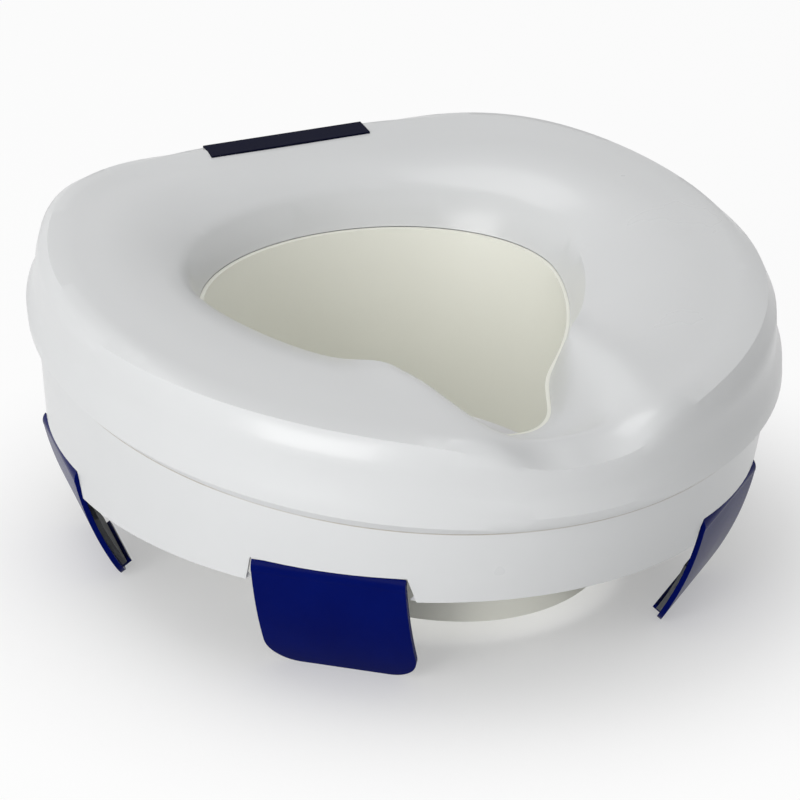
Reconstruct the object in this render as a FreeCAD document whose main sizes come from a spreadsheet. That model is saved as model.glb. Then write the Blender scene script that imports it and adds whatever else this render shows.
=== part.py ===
import FreeCAD, Part
import math
import os
from FreeCAD import Placement, Rotation, Vector

os.makedirs("parts", exist_ok=True)
doc = FreeCAD.newDocument("raised_toilet_seat")

# Frame: millimetres, +Z up, -Y is the front, z = 0 at the tips of the clips.
sizes = {
    "half_width": 200.0,          # seam outline, centre to side
    "front_reach": 229.0,         # seam outline, centre to front
    "rear_reach": 177.7,          # seam outline, centre to the flat rear
    "seam_height": 64.4,          # seam plane over the skirt's lower edge
    "seam_tilt": 5.37,            # degrees, the seam rises to the rear
    "shell_wall": 3.0,
    "skirt_taper": 5.9,           # lower edge inside the seam outline
    "band_bulge": 6.3,            # band outside the seam outline
    "band_height": 13.0,
    "neck_bulge": 2.0,
    "neck_height": 22.0,
    "crest_height": 50.5,         # dome over the seam plane
    "crest_inset": 20.0,
    "shoulder_height": 48.0,
    "shoulder_inset": 3.5,
    "rear_fall": 12.0,            # the dome falls off towards the rear edge
    "lip_height": 31.3,
    "lip_half_width": 114.6,
    "lip_half_depth": 90.2,
    "opening_centre": 26.8,       # opening centre behind the seam centre
    "nose_reach": 150.0,          # opening centre to where its sides would meet in front
    "trough_half_width": 48.0,
    "trough_floor": 40.0,         # half width of the trough's floor
    "trough_reach": 180.0,        # opening centre to the trough's inner rim
    "trough_depth": 20.0,
    "horn_place": 52.0,           # the horns beside the trough, each side of the middle
    "horn_spread": 16.0,
    "horn_rise": 8.0,
    "throat_height": 12.3,        # where the guard starts under the lip
    "throat_inset": 8.0,
    "guard_half_width": 103.4,
    "guard_half_depth": 125.9,
    "guard_centre": -37.0,
    "guard_drop": 94.3,           # guard's lower rim under the seam plane
    "guard_wall": 2.2,
    "guard_gap": 0.4,
    "web_height": 18.5,           # underside of the web over the skirt's edge
    "web_wall": 3.0,
    "notch_gap": 0.8,             # each side of the clip in its notch
    "notch_height": 15.0,
    "notch_spread": 4.0,          # wider at the skirt's edge, each side
    "clip_width": 85.0,
    "clip_wall": 3.0,
    "clip_lean": 23.5,            # degrees inward at rest
    "clip_length": 69.5,          # pin axis to tip along the leaf
    "clip_bow": 3.4,              # how far the leaf bows outward at its middle
    "clip_corner": 18.0,
    "clip_lip": 5.0,
    "clip_lip_width": 50.0,
    "cap_angle": 40.0,            # how far the leaf rolls over its top, degrees
    "knuckle_radius": 7.0,
    "knuckle_width": 60.0,
    "knuckle_gap": 0.4,           # round the knuckle and the leaf over its whole swing
    "pin_height": 9.5,            # pin axis over the skirt's lower edge
    "pin_inset": 7.5,             # pin axis inside the skirt's lower outline
    "pin_radius": 2.0,
    "pin_gap": 0.05,
    "ear_wall": 5.0,
    "ear_gap": 0.5,
    "front_clip_angle": 34.5,     # place on the outline, degrees from the front
    "side_clip_angle": 101.0,
    "pad_wall": 3.0,
    "pad_length": 34.0,
    "pad_width": 60.0,
    "badge_width": 101.0,
    "badge_depth": 14.0,
    "badge_wall": 2.5,
    "badge_gap": 0.2,
    "badge_sink": 0.9,            # badge's underside below the line from crest to shoulder
    "badge_pocket": 8.0,          # height of the pocket's cut, past the seat's surface
    "screw_radius": 1.75,
    "screw_head_radius": 3.5,
    "screw_head_height": 2.2,
    "screw_length": 18.0,
    "screw_gap": 0.05,
    "screw_seat_gap": 0.3,        # round and under the recessed head
    "boss_height": 3.0,
    "post_radius": 5.0,
    "post_inset": 32.0,           # post axis inside the seam outline
    "flange_reach": 7.0,          # guard's flange outside its wall
    "flange_wall": 2.0,
    "web_gap": 1.0,
    "land_height": 1.5,           # raised face that rests on the bowl
    "land_inset": 20.0,           # its outer edge inside the skirt's lower outline
    "land_gap": 7.0,              # its inner edge outside the guard
}

sheet = doc.addObject("Spreadsheet::Sheet", "Sizes")
for row, (name, value) in enumerate(sizes.items(), start=1):
    sheet.set("A%d" % row, name)
    sheet.set("B%d" % row, str(value))
    sheet.setAlias("B%d" % row, name)
doc.recompute()


def size(name):
    return float(sheet.get(name))


RING_POINTS = 96
REAR_BLEND = 12.0
LOBE_BLEND = 8.0
LOBE_SQUARENESS = 3.0
EGG_POWER = 1.6

lean = math.radians(size("clip_lean"))
tilt = math.radians(size("seam_tilt"))

# The clip's profile, seen from its side: x outward, y up, round the pin's axis.
# The leaf is an arc that bows outward by clip_bow between its ends.
leaf_down = Vector(-math.sin(lean), -math.cos(lean), 0)
leaf_out = Vector(math.cos(lean), -math.sin(lean), 0)
half_leaf = size("clip_length") / 2.0
bow_radius = half_leaf ** 2 / (2 * size("clip_bow")) + size("clip_bow") / 2.0
bow_centre = leaf_down * half_leaf + leaf_out * (size("knuckle_radius") + size("clip_bow") - bow_radius)


def leaf_point(depth, along):
    angle = (along - half_leaf) / bow_radius
    reach = bow_radius - depth
    return bow_centre + leaf_out * (reach * math.cos(angle)) + leaf_down * (reach * math.sin(angle))


# The clip's tip is the lowest point: it sets the height of the skirt's edge.
skirt_z = -leaf_point(0, size("clip_length")).y - size("pin_height")

# The lower outline's centre lies under the seam's, along the seam's own normal.
skirt_back = size("seam_height") * math.sin(tilt)
front_edge = (size("front_reach") + size("band_bulge")) * math.cos(tilt)
rear_edge = (size("rear_reach") + size("band_bulge")) * math.cos(tilt)
band_lean = size("band_height") * math.sin(tilt)
centre_shift = (front_edge - rear_edge) / 2.0 + band_lean

seam_place = Placement(
    Vector(0, centre_shift, skirt_z + size("seam_height")),
    Rotation(Vector(1, 0, 0), size("seam_tilt")),
)


def ellipse_radius(half_width, half_depth, angle):
    across = math.sin(angle) / half_width
    along = math.cos(angle) / half_depth
    return 1.0 / math.hypot(across, along)


def outline_radius(offset, angle):
    # An ellipse cut by a flat rear edge, with a soft corner between them.
    radius = ellipse_radius(size("half_width") + offset, size("front_reach") + offset, angle)
    rear = max(-math.cos(angle), 0.001) / (size("rear_reach") + offset)
    return (radius ** -REAR_BLEND + rear ** REAR_BLEND) ** (-1.0 / REAR_BLEND)


def superellipse_radius(half_width, half_depth, power, angle):
    across = abs(math.sin(angle)) / half_width
    along = abs(math.cos(angle)) / half_depth
    return (across ** power + along ** power) ** (-1.0 / power)


def opening_radius(offset, angle):
    # Half an ellipse behind and an egg's nose in front, joined with the trough's lobe.
    half_width = size("lip_half_width") + offset
    if math.cos(angle) <= 0:
        return ellipse_radius(half_width, size("lip_half_depth") + offset, angle)
    lobe_width = size("trough_half_width") + offset
    nose = superellipse_radius(half_width, size("nose_reach") + offset, EGG_POWER, angle)
    lobe = superellipse_radius(lobe_width, size("trough_reach") + offset, LOBE_SQUARENESS, angle)
    return (nose ** LOBE_BLEND + lobe ** LOBE_BLEND) ** (1.0 / LOBE_BLEND)


def surface_drop(x, y, trough_share, rear_share, horn_share):
    # How far the dome lies under its crest: the trough and its horns in front, the fall behind.
    if y > 0:
        return rear_share * size("rear_fall") * (y / size("rear_reach")) ** 5
    trough = trough_share * size("trough_depth") * math.exp(-((x / size("trough_floor")) ** 4))
    beside = (abs(x) - size("horn_place")) / size("horn_spread")
    return trough - horn_share * size("horn_rise") * math.exp(-(beside ** 2))


def ring_points(radius_at, centre_y, height, shares=(0.0, 0.0, 0.0)):
    points = []
    for step in range(RING_POINTS):
        angle = 2 * math.pi * step / RING_POINTS
        radius = radius_at(angle)
        x = radius * math.sin(angle)
        y = centre_y - radius * math.cos(angle)
        points.append(Vector(x, y, height - surface_drop(x, y, *shares)))
    return points


def outline_ring(offset, height, shares=(0.0, 0.0, 0.0)):
    return ring_points(lambda angle: outline_radius(offset, angle), 0.0, height, shares)


def opening_ring(offset, height, shares=(0.0, 0.0, 0.0)):
    centre = size("opening_centre")
    return ring_points(lambda angle: opening_radius(offset, angle), centre, height, shares)


def guard_ring(offset, height):
    width = size("guard_half_width") + offset
    depth = size("guard_half_depth") + offset
    return ring_points(lambda angle: ellipse_radius(width, depth, angle), size("guard_centre"), height)


def ring_wire(points):
    curve = Part.BSplineCurve()
    curve.interpolate(Points=points, PeriodicFlag=True)
    return Part.Wire(curve.toShape())


def smooth_rings(rings, bands):
    # Each profile is a spline through its ring points, sampled evenly along its length.
    columns = []
    for profile in zip(*rings):
        curve = Part.BSplineCurve()
        curve.interpolate(Points=list(profile))
        columns.append(curve.toShape().discretize(bands + 1))
    return [list(ring) for ring in zip(*columns)]


def ruled_skin(rings):
    return Part.makeLoft([ring_wire(ring) for ring in rings], False, True).Faces


def solid_from(faces):
    shell = Part.makeShell(faces)
    shell.sewShape()
    solid = Part.makeSolid(shell)
    if solid.Volume < 0:
        solid.reverse()
    return solid


def capped_solid(lower, upper):
    return Part.makeLoft([ring_wire(lower), ring_wire(upper)], True, True)


def add_feature(name, shape):
    feature = doc.addObject("Part::Feature", name)
    feature.Label = name
    feature.Shape = shape
    return feature


def moved(shape, placement):
    copy = shape.copy()
    copy.Placement = placement.multiply(copy.Placement)
    return copy


# ---- shared heights and places ---------------------------------------------
DOME_BANDS = 18
wall = size("shell_wall")
web_under = skirt_z + size("web_height")
web_top = web_under + size("web_wall")
OUTSIDE = 400.0


def slab(low, high):
    return Part.makeBox(2 * OUTSIDE, 2 * OUTSIDE, high - low, Vector(-OUTSIDE, -OUTSIDE, low))


def in_row_frame(points):
    return [seam_place.multVec(point) for point in points]


def skirt_ring(offset, height):
    # A level ring: the outline laid flat, centred as the seam is.
    ring = outline_ring(offset, 0.0)
    return [Vector(p.x, p.y + centre_shift + skirt_back, height) for p in ring]


# ---- seat_top -------------------------------------------------------------
def between_rings(first, second, share):
    return [a + (b - a) * share for a, b in zip(first, second)]


# Shares of the trough's depth, the rear fall and the horns' rise that each ring takes.
WALL_SHARES = (0.35, 0.0, 0.0)
SHOULDER_SHARES = (0.7, 0.25, 0.0)
CREST_SHARES = (0.5, 0.9, 0.0)
OUTER_SLOPE_SHARES = (0.9, 1.4, 0.1)
INNER_SLOPE_SHARES = (1.2, 1.8, 0.5)
LIP_SHARES = (0.85, 0.8, 1.0)


def dome_rings(inset, base):
    crest = size("crest_height") - inset
    shoulder = size("shoulder_height") - inset
    wall_top = 0.8 * crest
    lip_height = size("lip_height") - inset
    crest_ring = outline_ring(-size("crest_inset"), crest, CREST_SHARES)
    lip = opening_ring(inset, lip_height, LIP_SHARES)

    def slope_ring(share, fall, shares):
        ring = between_rings(crest_ring, lip, share)
        height = crest - fall * (crest - lip_height)
        return [Vector(p.x, p.y, height - surface_drop(p.x, p.y, *shares)) for p in ring]

    return [
        outline_ring(-inset, base),
        outline_ring(size("band_bulge") - inset, size("band_height")),
        outline_ring(size("neck_bulge") - inset, size("neck_height")),
        outline_ring(0.5 - inset, wall_top, WALL_SHARES),
        outline_ring(-size("shoulder_inset") - inset, shoulder, SHOULDER_SHARES),
        crest_ring,
        slope_ring(0.33, 0.06, OUTER_SLOPE_SHARES),
        slope_ring(0.66, 0.35, INNER_SLOPE_SHARES),
        lip,
    ]


def dome_solid(inset, base, throat_offset, throat_height):
    dome = smooth_rings(dome_rings(inset, base), DOME_BANDS)
    throat = opening_ring(throat_offset, throat_height)
    faces = ruled_skin(dome) + ruled_skin([dome[-1], throat]) + ruled_skin([throat, dome[0]])
    return solid_from(faces)


throat_height = size("throat_height")
throat_offset = -size("throat_inset")
seat_solid = dome_solid(0.0, 0.0, throat_offset, throat_height - 1.0)
seat_void = dome_solid(wall, -1.0, throat_offset + wall, throat_height - 1.0 - wall)
seat_solid.Placement = seam_place
seat_void.Placement = seam_place
seat_shell = seat_solid.cut(seat_void)

# The posts end inside the seat's wall, at the middle of its thickness.
half_wall = wall / 2.0
seat_core = dome_solid(half_wall, 0.0, throat_offset + half_wall, throat_height - 1.0 - half_wall)
seat_core.Placement = seam_place

post_angles = [12, 62, 122, 152, -12, -62, -122, -152]


def post_axis(angle):
    radians = math.radians(angle)
    radius = outline_radius(-size("post_inset"), radians)
    return Vector(radius * math.sin(radians), centre_shift - radius * math.cos(radians), 0)


boss_top = web_top + size("boss_height")
head_top = web_under + size("screw_head_height") + size("screw_seat_gap")
screw_tip = head_top + size("screw_length")
for angle in post_angles:
    foot = post_axis(angle) + Vector(0, 0, boss_top)
    column = Part.makeCylinder(size("post_radius"), OUTSIDE, foot)
    upper = column.common(seat_core)
    inside_dome = seam_place.multVec(Vector(foot.x, foot.y - centre_shift, throat_height)).z
    lower = Part.makeCylinder(size("post_radius"), inside_dome - boss_top, foot)
    seat_shell = seat_shell.fuse([upper, lower])
for angle in post_angles:
    foot = post_axis(angle) + Vector(0, 0, boss_top)
    bore = Part.makeCylinder(size("screw_radius") + size("screw_gap"), screw_tip + 1.0 - boss_top, foot)
    seat_shell = seat_shell.cut(bore)

# ---- rear_badge, set into the rear between the crest and the shoulder ------
def rear_point(inset, height, shares):
    y = size("rear_reach") - inset
    return Vector(0, y, height - surface_drop(0, y, *shares))


crest_rear = rear_point(size("crest_inset"), size("crest_height"), CREST_SHARES)
shoulder_rear = rear_point(size("shoulder_inset"), size("shoulder_height"), SHOULDER_SHARES)
badge_along = shoulder_rear - crest_rear
badge_slope = math.degrees(math.atan2(badge_along.z, badge_along.y))
badge_place = Placement((crest_rear + shoulder_rear) * 0.5, Rotation(Vector(1, 0, 0), badge_slope))


def badge_box(gap, height):
    half_width = size("badge_width") / 2.0 + gap
    half_depth = size("badge_depth") / 2.0 + gap
    corner = Vector(-half_width, -half_depth, -size("badge_sink"))
    box = Part.makeBox(2 * half_width, 2 * half_depth, height, corner)
    box.Placement = seam_place.multiply(badge_place)
    return box


seat_shell = seat_shell.cut(badge_box(size("badge_gap"), size("badge_pocket")))

# ---- splash_guard ---------------------------------------------------------
guard_low = -size("guard_drop")
guard_high = throat_height - 1.0 - size("guard_gap")


def guard_solid(offset, low, high):
    lower = in_row_frame(guard_ring(offset, low))
    upper = in_row_frame(opening_ring(throat_offset + offset, high))
    return capped_solid(lower, upper)


guard_outside = guard_solid(0.0, guard_low, guard_high)
guard_inside = guard_solid(-size("guard_wall"), guard_low - 1.0, guard_high + 1.0)
flange = guard_solid(size("flange_reach"), guard_low, guard_high)
flange = flange.common(slab(web_top, web_top + size("flange_wall")))
guard = guard_outside.fuse(flange).cut(guard_inside)

# ---- base_shell -----------------------------------------------------------
skirt_low = skirt_ring(-size("skirt_taper"), skirt_z)
skirt = capped_solid(skirt_low, in_row_frame(outline_ring(0.0, 0.0)))
hollow_low = skirt_ring(-size("skirt_taper") - wall, skirt_z - 1.0)
land_outer = size("skirt_taper") + size("land_inset")
hollow = capped_solid(hollow_low, in_row_frame(outline_ring(-wall, 1.0)))
passage = guard_solid(size("web_gap"), guard_low - 1.0, guard_high)
web = hollow.common(slab(web_under, web_top)).cut(passage)
land_low = web_under - size("land_height")
land = capped_solid(skirt_ring(-land_outer, land_low), skirt_ring(-land_outer, web_top))
land = land.cut(guard_solid(size("web_gap") + size("land_gap"), guard_low - 1.0, guard_high))
land = land.common(slab(land_low, web_top - 1.0))
base = skirt.cut(hollow).fuse([web, land])

# ---- clips, pins and pads -------------------------------------------------
def clip_place(angle):
    radians = math.radians(angle)
    offset = -size("skirt_taper")

    def edge_point(at):
        radius = outline_radius(offset, at)
        return Vector(radius * math.sin(at), -radius * math.cos(at), 0)

    along = edge_point(radians + 0.01) - edge_point(radians - 0.01)
    outward = Vector(along.y, -along.x, 0).normalize()
    point = edge_point(radians) - outward * size("pin_inset")
    point += Vector(0, centre_shift + skirt_back, skirt_z + size("pin_height"))
    facing = math.degrees(math.atan2(outward.x, -outward.y))
    return Placement(point, Rotation(Vector(0, 0, 1), facing + 180))


clip_angles = {
    "front_right": size("front_clip_angle"),
    "front_left": -size("front_clip_angle"),
    "side_right": size("side_clip_angle"),
    "side_left": -size("side_clip_angle"),
}


def origin_plane(body, role):
    for feature in body.Origin.OriginFeatures:
        if feature.Role == role:
            return feature
    raise ValueError(role)


def side_sketch(body, name):
    sketch = body.newObject("Sketcher::SketchObject", name)
    sketch.AttachmentSupport = [(origin_plane(body, "YZ_Plane"), "")]
    sketch.MapMode = "FlatFace"
    return sketch


def add_pad(body, sketch, name, width):
    pad = body.newObject("PartDesign::Pad", name)
    pad.Profile = sketch
    pad.SideType = "Symmetric"
    pad.setExpression("Length", "Sizes." + width)
    return pad


def bowed_strip(sketch, depth_low, depth_high, along_low, along_high):
    middle = (along_low + along_high) / 2.0
    outer = [leaf_point(depth_low, along) for along in (along_low, middle, along_high)]
    inner = [leaf_point(depth_high, along) for along in (along_high, middle, along_low)]
    sketch.addGeometry(Part.Arc(*outer), False)
    sketch.addGeometry(Part.LineSegment(outer[2], inner[0]), False)
    sketch.addGeometry(Part.Arc(*inner), False)
    sketch.addGeometry(Part.LineSegment(inner[2], outer[0]), False)


def make_clip(name, placement):
    body = doc.addObject("PartDesign::Body", name)
    body.Label = name
    thick = size("clip_wall")
    length = size("clip_length")
    radius = size("knuckle_radius")

    # The leaf, with the roll over its top.
    leaf = side_sketch(body, name + "_leaf_side")
    outer_top = leaf_point(0, 0)
    inner_top = leaf_point(thick, 0)
    cap_end = math.radians(size("cap_angle"))
    cap_middle = (cap_end - lean) / 2.0

    def on_circle(circle_radius, angle):
        return Vector(circle_radius * math.cos(angle), circle_radius * math.sin(angle), 0)

    outer = [leaf_point(0, along) for along in (0, half_leaf, length)]
    inner = [leaf_point(thick, along) for along in (length, half_leaf, 0)]
    outer_cap = [on_circle(radius, angle) for angle in (cap_end, cap_middle)]
    inner_cap = [on_circle(radius - thick, angle) for angle in (cap_middle, cap_end)]
    leaf.addGeometry(Part.Arc(*outer), False)
    leaf.addGeometry(Part.LineSegment(outer[2], inner[0]), False)
    leaf.addGeometry(Part.Arc(*inner), False)
    leaf.addGeometry(Part.Arc(inner_top, *inner_cap), False)
    leaf.addGeometry(Part.LineSegment(inner_cap[1], outer_cap[0]), False)
    leaf.addGeometry(Part.Arc(*outer_cap, outer_top), False)
    plate = add_pad(body, leaf, name + "_leaf", "clip_width")
    doc.recompute()

    # Its two lower corners are rounded: the short edges at the tip, on each side.
    half_width = size("clip_width") / 2.0
    tip = (outer[2] + inner[0]) * 0.5
    corners = []
    for number, edge in enumerate(plate.Shape.Edges, start=1):
        centre = edge.CenterOfMass
        near_tip = math.hypot(centre.y - tip.x, centre.z - tip.y) < 0.1
        if near_tip and abs(abs(centre.x) - half_width) < 0.1:
            corners.append("Edge%d" % number)
    rounded = body.newObject("PartDesign::Fillet", name + "_corners")
    rounded.Base = (plate, corners)
    rounded.setExpression("Radius", "Sizes.clip_corner")

    # The knuckle between the ears, the lip at the tip, and the bore for the pin.
    knuckle = side_sketch(body, name + "_knuckle_side")
    knuckle.addGeometry(Part.Circle(Vector(0, 0, 0), Vector(0, 0, 1), radius), False)
    add_pad(body, knuckle, name + "_knuckle", "knuckle_width")
    lip = side_sketch(body, name + "_lip_side")
    bowed_strip(lip, thick / 2.0, thick + size("clip_lip"), length - thick, length)
    add_pad(body, lip, name + "_lip", "clip_lip_width")
    bore_side = side_sketch(body, name + "_bore_side")
    bore_radius = size("pin_radius") + size("pin_gap")
    bore_side.addGeometry(Part.Circle(Vector(0, 0, 0), Vector(0, 0, 1), bore_radius), False)
    bore = body.newObject("PartDesign::Pocket", name + "_bore")
    bore.Profile = bore_side
    bore.SideType = "Symmetric"
    bore.setExpression("Length", "Sizes.knuckle_width + 2")
    body.Placement = placement
    return body


def make_pin(name, placement):
    pin = doc.addObject("Part::Cylinder", name)
    pin.Label = name
    pin.setExpression("Radius", "Sizes.pin_radius")
    pin.setExpression("Height", "Sizes.knuckle_width + 2 * (Sizes.ear_gap + Sizes.ear_wall)")
    doc.recompute()
    half = float(pin.Height) / 2.0
    pin.Placement = placement.multiply(Placement(Vector(-half, 0, 0), Rotation(Vector(0, 1, 0), 90)))
    return pin


def make_grip_pad(name, placement):
    body = doc.addObject("PartDesign::Body", name)
    body.Label = name
    sketch = side_sketch(body, name + "_side")
    inside = size("clip_wall")
    low_end = size("clip_length") - size("clip_wall") - 1.0
    bowed_strip(sketch, inside, inside + size("pad_wall"), low_end - size("pad_length"), low_end)
    add_pad(body, sketch, name + "_strip", "pad_width")
    body.Placement = placement
    return body


def make_block(x_low, x_high, y_low, y_high, z_low, z_high):
    return Part.makeBox(x_high - x_low, y_high - y_low, z_high - z_low, Vector(x_low, y_low, z_low))


NOTCH_REACH = 40.0
STEM_INNER = 0.5


def notch_tool():
    half = size("clip_width") / 2.0 + size("notch_gap")
    half_low = half + size("notch_spread")
    top = size("notch_height") - size("pin_height")
    low = -size("pin_height") - 1.0
    ends = [(-half, top), (half, top), (half_low, low), (-half_low, low)]
    corners = [Vector(x, 0, z) for x, z in ends]
    outline = Part.makePolygon(corners + corners[:1])
    return Part.Face(outline).extrude(Vector(0, NOTCH_REACH, 0))


ear_low = size("knuckle_width") / 2.0 + size("ear_gap")
ear_high = ear_low + size("ear_wall")
ear_top = size("web_height") - size("pin_height")
ear_radius = size("knuckle_radius") - size("clip_wall") - size("knuckle_gap")
along_pin = Vector(1, 0, 0)
for angle in clip_angles.values():
    place = clip_place(angle)
    base = base.cut(moved(notch_tool(), place))
    relief_half = size("clip_width") / 2.0 + size("notch_gap")
    relief_radius = size("knuckle_radius") + size("knuckle_gap")
    relief = Part.makeCylinder(relief_radius, 2 * relief_half, Vector(-relief_half, 0, 0), along_pin)
    base = base.cut(moved(relief, place))
    for x_low, x_high in ((ear_low, ear_high), (-ear_high, -ear_low)):
        start = Vector(x_low, 0, 0)
        eye = Part.makeCylinder(ear_radius, x_high - x_low, start, along_pin)
        stem = make_block(x_low, x_high, -ear_radius, STEM_INNER, 0, ear_top)
        bore = Part.makeCylinder(size("pin_radius"), x_high - x_low, start, along_pin)
        base = base.fuse(moved(eye.fuse(stem).cut(bore), place))
for angle in post_angles:
    axis = post_axis(angle)
    boss = Part.makeCylinder(size("post_radius"), size("boss_height"), axis + Vector(0, 0, web_top))
    hole_radius = size("screw_radius") + size("screw_gap")
    hole = Part.makeCylinder(hole_radius, boss_top + 1.0 - land_low, axis + Vector(0, 0, land_low))
    seat_radius = size("screw_head_radius") + size("screw_seat_gap")
    bore_foot = axis + Vector(0, 0, land_low - 1.0)
    counterbore = Part.makeCylinder(seat_radius, head_top - bore_foot.z, bore_foot)
    base = base.fuse(boss).cut(hole.fuse(counterbore))


def screw_at(axis):
    head_foot = axis + Vector(0, 0, head_top - size("screw_head_height"))
    head = Part.makeCylinder(size("screw_head_radius"), size("screw_head_height"), head_foot)
    shank = Part.makeCylinder(size("screw_radius"), size("screw_length"), axis + Vector(0, 0, head_top))
    return shank.fuse(head)


screws = Part.makeCompound([screw_at(post_axis(angle)) for angle in post_angles])

nodes = [
    add_feature("seat_top", seat_shell),
    add_feature("base_shell", base),
    add_feature("splash_guard", guard),
    add_feature("rear_badge", badge_box(0.0, size("badge_wall"))),
    add_feature("shell_screws", screws),
]
for side, angle in clip_angles.items():
    place = clip_place(angle)
    nodes.append(make_clip("clip_" + side, place))
    nodes.append(make_pin("clip_pin_" + side, place))
    nodes.append(make_grip_pad("grip_pad_" + side, place))

doc.recompute()
for node in doc.Objects:
    if "Invalid" in node.State or "Error" in node.State:
        raise RuntimeError("failed: " + node.Name)
for node in nodes:
    if node.Shape.isNull() or not node.Shape.isValid():
        raise RuntimeError("bad shape: " + node.Label)
for node in nodes:
    node.Shape.exportStep("parts/" + node.Label + ".step")
    print(node.Label, len(node.Shape.Solids), "solids,", round(node.Shape.Volume / 1000.0, 1), "cm3")
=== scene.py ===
import math

import bmesh
import bpy
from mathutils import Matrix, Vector


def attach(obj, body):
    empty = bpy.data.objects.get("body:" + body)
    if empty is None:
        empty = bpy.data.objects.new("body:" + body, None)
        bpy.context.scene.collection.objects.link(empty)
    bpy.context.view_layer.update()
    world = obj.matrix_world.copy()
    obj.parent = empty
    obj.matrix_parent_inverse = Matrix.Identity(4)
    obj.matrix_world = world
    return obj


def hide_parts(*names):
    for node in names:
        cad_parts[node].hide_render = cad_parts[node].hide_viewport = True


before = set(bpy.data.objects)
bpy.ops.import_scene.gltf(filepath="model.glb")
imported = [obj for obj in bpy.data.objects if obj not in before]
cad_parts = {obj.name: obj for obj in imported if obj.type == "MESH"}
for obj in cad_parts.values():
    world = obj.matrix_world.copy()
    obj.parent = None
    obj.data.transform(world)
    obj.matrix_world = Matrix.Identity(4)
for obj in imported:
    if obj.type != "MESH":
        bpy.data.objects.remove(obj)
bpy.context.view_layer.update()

scene = bpy.context.scene
scene.view_settings.view_transform = "Standard"
print("frame loaded:", len(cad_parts), "nodes")


# one shader node, with its settings and the values of its inputs
def addNode(tree, kind, settings=None, values=None):
    node = tree.nodes.new("ShaderNode" + kind)
    for setting, value in (settings or {}).items():
        setattr(node, setting, value)
    for socket, value in (values or {}).items():
        node.inputs[socket].default_value = value
    return node


def linkAll(tree, pairs):
    for output, socket in pairs:
        tree.links.new(output, socket)


# an empty node group with named inputs and outputs, and the two nodes that hold them
def makeGroup(name, inputs, outputs):
    group = bpy.data.node_groups.new(name, "ShaderNodeTree")
    for direction, sockets in (("INPUT", inputs), ("OUTPUT", outputs)):
        for socket, kind in sockets.items():
            group.interface.new_socket(name=socket, in_out=direction, socket_type="NodeSocket" + kind)
    return group, group.nodes.new("NodeGroupInput"), group.nodes.new("NodeGroupOutput")


mouldedDetail = {"mottle": 4.0, "grain": 3.0}


# colour, gloss and grain that every moulded plastic shares
def makeMouldedGroup(detail):
    group, source, result = makeGroup(
        "mouldedPlastic",
        {"Colour": "Color", "Shade": "Color", "Mottle Scale": "Float", "Grain Scale": "Float",
         "Grain Height": "Float", "Gloss": "Float", "Gloss Spread": "Float"},
        {"Colour": "Color", "Roughness": "Float", "Height": "Float"})
    coords = addNode(group, "TexCoord")
    mottle = addNode(group, "TexNoise", values={"Detail": detail["mottle"]})
    grain = addNode(group, "TexNoise", values={"Detail": detail["grain"]})
    mix = addNode(group, "Mix", {"data_type": "RGBA"})
    gloss = addNode(group, "Math", {"operation": "MULTIPLY_ADD"})
    height = addNode(group, "Math", {"operation": "MULTIPLY"})
    linkAll(group, [
        (coords.outputs["Object"], mottle.inputs["Vector"]),
        (coords.outputs["Object"], grain.inputs["Vector"]),
        (source.outputs["Mottle Scale"], mottle.inputs["Scale"]),
        (source.outputs["Grain Scale"], grain.inputs["Scale"]),
        (mottle.outputs["Fac"], mix.inputs["Factor"]),
        (source.outputs["Colour"], mix.inputs["A"]),
        (source.outputs["Shade"], mix.inputs["B"]),
        (mottle.outputs["Fac"], gloss.inputs[0]),
        (source.outputs["Gloss Spread"], gloss.inputs[1]),
        (source.outputs["Gloss"], gloss.inputs[2]),
        (grain.outputs["Fac"], height.inputs[0]),
        (source.outputs["Grain Height"], height.inputs[1]),
        (mix.outputs["Result"], result.inputs["Colour"]),
        (gloss.outputs["Value"], result.inputs["Roughness"]),
        (height.outputs["Value"], result.inputs["Height"]),
    ])
    return group


jointLinePatches = {"scale": 24.0}


# a thin dark line where two mouldings meet: it fades with the distance from the plane that it lies in,
# and noise breaks it up along its length
def makeJointLineGroup(patchLook):
    group, source, result = makeGroup(
        "jointLine",
        {"Colour": "Color", "Line Colour": "Color", "Normal": "Vector", "Offset": "Float",
         "Half Width": "Float", "Strength": "Float"},
        {"Colour": "Color"})
    coords = addNode(group, "TexCoord")
    along = addNode(group, "VectorMath", {"operation": "DOT_PRODUCT"})
    away = addNode(group, "Math", {"operation": "SUBTRACT"})
    distance = addNode(group, "Math", {"operation": "ABSOLUTE"})
    widths = addNode(group, "Math", {"operation": "DIVIDE"})
    fade = addNode(group, "Math", {"operation": "SUBTRACT", "use_clamp": True}, {0: 1.0})
    patches = addNode(group, "TexNoise", values={"Scale": patchLook["scale"]})
    patchy = addNode(group, "Math", {"operation": "MULTIPLY"})
    amount = addNode(group, "Math", {"operation": "MULTIPLY"})
    mix = addNode(group, "Mix", {"data_type": "RGBA"})
    linkAll(group, [
        (coords.outputs["Object"], along.inputs[0]),
        (source.outputs["Normal"], along.inputs[1]),
        (along.outputs["Value"], away.inputs[0]),
        (source.outputs["Offset"], away.inputs[1]),
        (away.outputs["Value"], distance.inputs[0]),
        (distance.outputs["Value"], widths.inputs[0]),
        (source.outputs["Half Width"], widths.inputs[1]),
        (widths.outputs["Value"], fade.inputs[1]),
        (coords.outputs["Object"], patches.inputs["Vector"]),
        (fade.outputs["Value"], patchy.inputs[0]),
        (patches.outputs["Fac"], patchy.inputs[1]),
        (patchy.outputs["Value"], amount.inputs[0]),
        (source.outputs["Strength"], amount.inputs[1]),
        (amount.outputs["Value"], mix.inputs["Factor"]),
        (source.outputs["Colour"], mix.inputs["A"]),
        (source.outputs["Line Colour"], mix.inputs["B"]),
        (mix.outputs["Result"], result.inputs["Colour"]),
    ])
    return group


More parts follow.
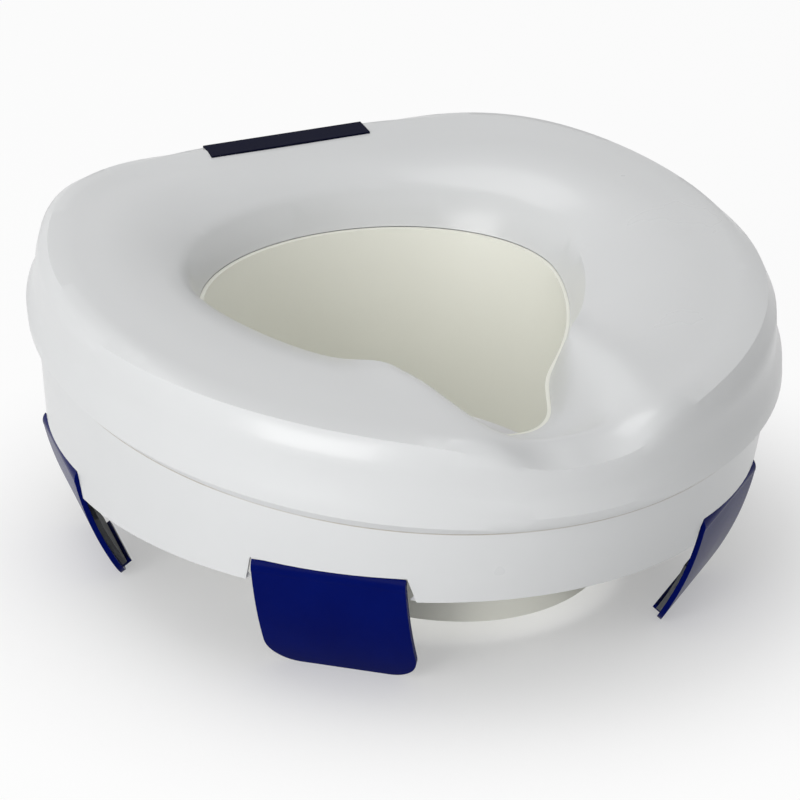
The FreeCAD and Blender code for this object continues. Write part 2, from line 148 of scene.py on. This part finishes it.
mouldedGroup = makeMouldedGroup(mouldedDetail)
jointLineGroup = makeJointLineGroup(jointLinePatches)

seamSearch = {"middleHalfWidth": 0.02}


# the seam's plane, read from the lower shell's upper edge at the front and at the rear
def seamPlane(search):
    corners = [v.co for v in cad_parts["base_shell"].data.vertices
               if abs(v.co.x) < search["middleHalfWidth"]]
    front = max((c for c in corners if c.y < 0.0), key=lambda c: c.z - c.y)
    rear = max((c for c in corners if c.y > 0.0), key=lambda c: c.z + c.y)
    along = rear - front
    along.x = 0.0
    normal = Vector((0.0, -along.z, along.y)).normalized()
    return normal, normal.dot(front)


bumpReach = 0.001


# a moulded plastic from its look; joint lines are added only where the look names them
def makePlastic(name, look):
    material = bpy.data.materials.new(name)
    material.use_nodes = True
    tree = material.node_tree
    shader = tree.nodes["Principled BSDF"]
    moulded = addNode(tree, "Group", {"node_tree": mouldedGroup}, {
        "Colour": (*look["colour"], 1.0), "Shade": (*look["shade"], 1.0),
        "Mottle Scale": look["mottleScale"], "Grain Scale": look["grainScale"],
        "Grain Height": look["grainHeight"], "Gloss": look["roughness"],
        "Gloss Spread": look["roughnessSpread"]})
    colour = moulded.outputs["Colour"]
    for line in look.get("jointLines", []):
        joint = addNode(tree, "Group", {"node_tree": jointLineGroup}, {
            "Line Colour": (*line["colour"], 1.0), "Normal": line["normal"], "Offset": line["offset"],
            "Half Width": line["halfWidth"], "Strength": line["strength"]})
        tree.links.new(colour, joint.inputs["Colour"])
        colour = joint.outputs["Colour"]
    bump = addNode(tree, "Bump", values={"Distance": bumpReach, "Strength": look["bump"]})
    linkAll(tree, [
        (colour, shader.inputs["Base Color"]),
        (moulded.outputs["Roughness"], shader.inputs["Roughness"]),
        (moulded.outputs["Height"], bump.inputs["Height"]),
        (bump.outputs["Normal"], shader.inputs["Normal"]),
    ])
    shader.inputs["Metallic"].default_value = look.get("metallic", 0.0)
    shader.inputs["Coat Weight"].default_value = look.get("coat", 0.0)
    shader.inputs["Specular IOR Level"].default_value = look.get("specular", 0.5)
    return material


seamNormal, seamOffset = seamPlane(seamSearch)
seamLine = {"colour": (0.30, 0.23, 0.15), "normal": seamNormal, "offset": seamOffset,
            "halfWidth": 0.0007, "strength": 1.3}
finishes = {
    "shellWhite": {"colour": (0.72, 0.73, 0.735), "shade": (0.67, 0.68, 0.685), "mottleScale": 9.0,
                   "grainScale": 900.0, "grainHeight": 0.15, "roughness": 0.24, "roughnessSpread": 0.10,
                   "bump": 0.08, "coat": 0.1, "jointLines": [seamLine]},
    # the guard's own pale plastic, made brighter and tinted cream: a painted warm bounce light inside the
    # bowl
    "guardPaleWithPaintedBounce": {"colour": (0.93, 0.93, 0.85), "shade": (0.91, 0.91, 0.82), "mottleScale": 12.0,
                   "grainScale": 700.0, "grainHeight": 0.2, "roughness": 0.34, "roughnessSpread": 0.12,
                   "bump": 0.10},
    "clipNavy": {"colour": (0.0005, 0.0055, 0.115), "shade": (0.0005, 0.003, 0.08), "mottleScale": 30.0,
                 "grainScale": 900.0, "grainHeight": 0.15, "roughness": 0.18, "roughnessSpread": 0.10,
                 "bump": 0.08, "specular": 0.02},
    "badgeNavy": {"colour": (0.0025, 0.003, 0.014), "shade": (0.004, 0.005, 0.020), "mottleScale": 60.0,
                  "grainScale": 1500.0, "grainHeight": 0.4, "roughness": 0.42, "roughnessSpread": 0.12,
                  "bump": 0.2, "specular": 0.03},
    "padGrey": {"colour": (0.16, 0.165, 0.17), "shade": (0.12, 0.122, 0.125), "mottleScale": 80.0,
                "grainScale": 1300.0, "grainHeight": 1.0, "roughness": 0.72, "roughnessSpread": 0.15,
                "bump": 0.6},
    "pinSteel": {"colour": (0.55, 0.55, 0.56), "shade": (0.46, 0.46, 0.47), "mottleScale": 120.0,
                 "grainScale": 2200.0, "grainHeight": 0.3, "roughness": 0.28, "roughnessSpread": 0.15,
                 "bump": 0.15, "metallic": 1.0},
}
materials = {name: makePlastic(name, look) for name, look in finishes.items()}

# the first of these words that a node's name holds says what it is made of
finishOf = {"seat_top": "shellWhite", "base_shell": "shellWhite", "splash_guard": "guardPaleWithPaintedBounce",
            "rear_badge": "badgeNavy", "shell_screws": "pinSteel", "clip_pin": "pinSteel",
            "grip_pad": "padGrey", "clip": "clipNavy"}
for name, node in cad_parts.items():
    finish = next(finishOf[word] for word in finishOf if word in name)
    for slot in node.material_slots:
        slot.link = "OBJECT"
        slot.material = materials[finish]
print("finishes on the frame's own nodes")


# a moulding drawn as one smooth skin: the frame's triangles joined, sharp only at real edges
def smoothMoulding(nodeName, look):
    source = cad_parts[nodeName]
    skin = bmesh.new()
    skin.from_mesh(source.data)
    bmesh.ops.remove_doubles(skin, verts=skin.verts, dist=look["joinWithin"])
    for face in skin.faces:
        face.smooth = True
    sharpAngle = math.radians(look["sharpOver"])
    for edge in skin.edges:
        edge.smooth = len(edge.link_faces) == 2 and edge.calc_face_angle(0.0) < sharpAngle
    data = bpy.data.meshes.new(look["piece"])
    skin.to_mesh(data)
    skin.free()
    if "custom_normal" in data.attributes:
        data.attributes.remove(data.attributes["custom_normal"])
    data.materials.append(source.material_slots[0].material)
    piece = bpy.data.objects.new(look["piece"], data)
    scene.collection.objects.link(piece)
    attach(piece, "shell")
    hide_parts(nodeName)


mouldings = {
    "seat_top": {"piece": "seatTopSkin", "slot": "shell_white", "joinWithin": 0.00002, "sharpOver": 38.0},
    "base_shell": {"piece": "baseShellSkin", "slot": "shell_white", "joinWithin": 0.00002,
                   "sharpOver": 30.0},
    "splash_guard": {"piece": "splashGuardSkin", "slot": "guard_cream", "joinWithin": 0.00002,
                     "sharpOver": 30.0},
}
for nodeName, look in mouldings.items():
    smoothMoulding(nodeName, look)
print("mouldings smoothed")


# one where a surface is seen straight on, in gloss or through glass, and nought where it only lights
def seenRays(tree):
    path = addNode(tree, "LightPath")
    seenOrGlossy = addNode(tree, "Math", {"operation": "ADD", "use_clamp": True})
    seenAnyway = addNode(tree, "Math", {"operation": "ADD", "use_clamp": True})
    linkAll(tree, [
        (path.outputs["Is Camera Ray"], seenOrGlossy.inputs[0]),
        (path.outputs["Is Glossy Ray"], seenOrGlossy.inputs[1]),
        (seenOrGlossy.outputs["Value"], seenAnyway.inputs[0]),
        (path.outputs["Is Transmission Ray"], seenAnyway.inputs[1]),
    ])
    return seenAnyway.outputs["Value"]


# the floor's seen white drops inside a ring round the middle: a painted shade under the seat
floorLook = {"reach": 6.0, "colour": (0.85, 0.85, 0.85), "roughness": 0.9, "whiteToCamera": 0.92,
             "whiteUnderSeatPaintedShade": 0.30, "paintedShadeFrom": 0.34, "paintedShadeTo": 0.12}


# pale and matt, nearly white where it is seen; under the seat that white is turned down, a painted shade
# centred on the seat, laid over the shade that the floor really gets
def makeFloorPaint(look):
    paint = bpy.data.materials.new("floorPaint")
    paint.use_nodes = True
    tree = paint.node_tree
    matt = tree.nodes["Principled BSDF"]
    matt.inputs["Base Color"].default_value = (*look["colour"], 1.0)
    matt.inputs["Roughness"].default_value = look["roughness"]
    white = addNode(tree, "Emission")
    place = addNode(tree, "TexCoord")
    fromMiddle = addNode(tree, "VectorMath", {"operation": "LENGTH"})
    # painted shade: less white towards the middle of the floor, under the seat
    paintedShadeWhiteness = addNode(tree, "MapRange", {"interpolation_type": "SMOOTHSTEP"}, {
        "From Min": look["paintedShadeTo"], "From Max": look["paintedShadeFrom"],
        "To Min": look["whiteUnderSeatPaintedShade"], "To Max": look["whiteToCamera"]})
    share = addNode(tree, "Math", {"operation": "MULTIPLY"})
    blend = addNode(tree, "MixShader")
    linkAll(tree, [
        (place.outputs["Object"], fromMiddle.inputs[0]),
        (fromMiddle.outputs["Value"], paintedShadeWhiteness.inputs["Value"]),
        (seenRays(tree), share.inputs[0]),
        (paintedShadeWhiteness.outputs["Result"], share.inputs[1]),
        (share.outputs["Value"], blend.inputs["Fac"]),
        (matt.outputs["BSDF"], blend.inputs[1]),
        (white.outputs["Emission"], blend.inputs[2]),
        (blend.outputs["Shader"], tree.nodes["Material Output"].inputs["Surface"]),
    ])
    return paint


# the floor that the clips stand on
def makeFloor(look):
    grid = bmesh.new()
    bmesh.ops.create_grid(grid, x_segments=1, y_segments=1, size=look["reach"])
    data = bpy.data.meshes.new("paleFloor")
    grid.to_mesh(data)
    grid.free()
    data.materials.append(makeFloorPaint(look))
    floor = bpy.data.objects.new("paleFloor", data)
    scene.collection.objects.link(floor)


worldLook = {"level": 0.38, "levelSeen": 1.0}


# soft light on the object, and plain white wherever the world is seen
def makeWorld(look):
    world = bpy.data.worlds.new("studio")
    scene.world = world
    world.use_nodes = True
    tree = world.node_tree
    background = tree.nodes["Background"]
    background.inputs["Color"].default_value = (1.0, 1.0, 1.0, 1.0)
    level = addNode(tree, "MapRange", values={"To Min": look["level"], "To Max": look["levelSeen"]})
    linkAll(tree, [
        (seenRays(tree), level.inputs["Value"]),
        (level.outputs["Result"], background.inputs["Strength"]),
    ])


lampTarget = Vector((0.0, 0.0, 0.08))
lampLooks = {
    "softKey": {"place": (-1.7, -1.0, 0.75), "size": 1.2, "power": 20.0},
    "softFill": {"place": (-0.2, -1.9, 0.7), "size": 1.4, "power": 3.5},
    "softTop": {"place": (-0.3, 0.5, 1.8), "size": 1.2, "power": 9.0},
}


def makeLamp(name, look, target):
    data = bpy.data.lights.new(name, "AREA")
    data.size = look["size"]
    data.energy = look["power"]
    lamp = bpy.data.objects.new(name, data)
    lamp.location = look["place"]
    lamp.rotation_euler = (target - Vector(look["place"])).to_track_quat("-Z", "Y").to_euler()
    scene.collection.objects.link(lamp)


cameraLook = {"place": (-0.8684, -1.8581, 0.9868), "azimuth": -24.72, "elevation": 23.63,
              "lens": 180.0, "sensor": 36.0}


def makeCamera(look):
    data = bpy.data.cameras.new("viewpoint")
    data.sensor_width = look["sensor"]
    data.lens = look["lens"]
    camera = bpy.data.objects.new("viewpoint", data)
    camera.location = look["place"]
    camera.rotation_euler = (math.radians(90.0 - look["elevation"]), 0.0, math.radians(look["azimuth"]))
    scene.collection.objects.link(camera)
    scene.camera = camera


makeFloor(floorLook)
makeWorld(worldLook)
for name, look in lampLooks.items():
    makeLamp(name, look, lampTarget)
makeCamera(cameraLook)
print("stage, lamps and camera")
